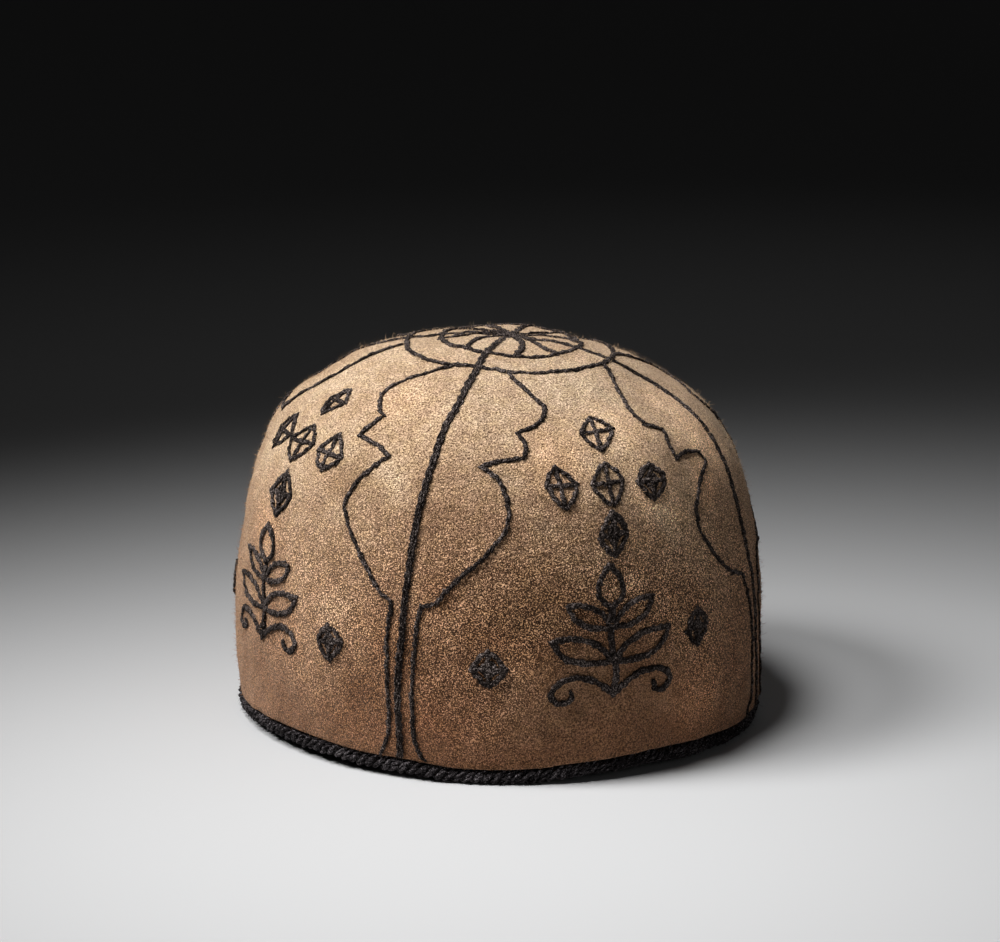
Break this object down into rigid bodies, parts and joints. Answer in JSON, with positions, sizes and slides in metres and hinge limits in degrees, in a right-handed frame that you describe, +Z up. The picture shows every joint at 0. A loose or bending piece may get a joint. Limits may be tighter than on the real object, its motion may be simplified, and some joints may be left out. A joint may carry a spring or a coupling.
{
  "type": "dervish hat",
  "caption": "Rounded felt cap, open below, with a thick wool cord sewn round its rim and flat wool cords laid from the crown down to the rim.",
  "frame": {"origin": "centre of the rim's underside, on the surface that the cap rests on", "axes": "+Z up out of the crown, -Y towards the front, between the two panels that show"},
  "size_m": [0.19, 0.1888, 0.1368],
  "materials": {
    "felt": "matt, short fuzzy nap of undyed tan-brown wool felt",
    "rim_cord_wool": "matt, hairy twisted black wool",
    "seam_cord_wool": "matt, blue-black worsted wool"
  },
  "bodies": {
    "root": {"felt_cap": "felt", "rim_cord": "rim_cord_wool", "seam_cord_front": "seam_cord_wool", "seam_cord_right": "seam_cord_wool", "seam_cord_back": "seam_cord_wool", "seam_cord_left": "seam_cord_wool"}
  },
  "joints": []
}
